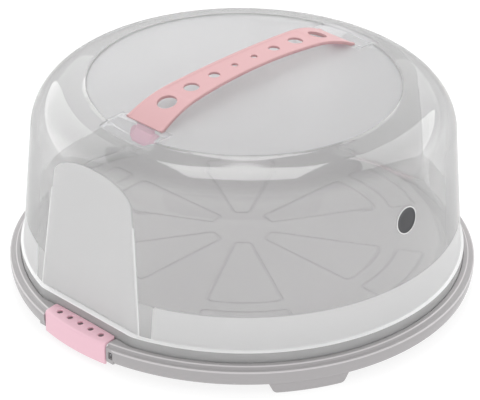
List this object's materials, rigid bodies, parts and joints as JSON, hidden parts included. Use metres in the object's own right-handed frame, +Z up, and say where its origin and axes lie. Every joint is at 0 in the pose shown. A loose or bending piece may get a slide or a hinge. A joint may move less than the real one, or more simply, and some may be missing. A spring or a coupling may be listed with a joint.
{
  "type": "cake carrier",
  "caption": "Round cake carrier: a footed tray with a raised, slice-marked platform, a clear lift-off dome held by hinged clips, and a perforated carrying strap.",
  "frame": {"origin": "on the table, under the middle of the tray, at the bottom of its feet", "axes": "+Z up, X from clip to clip along the strap, -Y towards the side with the round badge"},
  "size_m": [0.3476, 0.35, 0.1733],
  "materials": {
    "tray": "pale grey, slightly translucent",
    "dome": "clear, faintly grey, glossy",
    "strap": "salmon pink, soft gloss",
    "clip": "pale pink, soft gloss",
    "pin": "plain",
    "badge": "dark grey, plain"
  },
  "bodies": {
    "base": {"base_tray": "tray", "hinge_pin_left": "pin", "hinge_pin_right": "pin"},
    "lid": {"lid_dome": "dome", "badge_disc": "badge"},
    "strap": {"handle_strap": "strap"},
    "clip_left": {"latch_left": "clip"},
    "clip_right": {"latch_right": "clip"}
  },
  "joints": [
    {"name": "lid_lift", "type": "slide", "parent": "base", "child": "lid", "axis": [0, 0, 1], "range_m": [0, 0.15]},
    {"name": "strap_play", "type": "slide", "parent": "lid", "child": "strap", "axis": [0, 0, 1], "range_m": [0, 0.003]},
    {"name": "clip_left_hinge", "type": "hinge", "parent": "base", "child": "clip_left", "pos_m": [-0.1673, 0, 0.013], "axis": [0, -1, 0], "range_deg": [0, 100]},
    {"name": "clip_right_hinge", "type": "hinge", "parent": "base", "child": "clip_right", "pos_m": [0.1673, 0, 0.013], "axis": [0, 1, 0], "range_deg": [0, 100]}
  ]
}
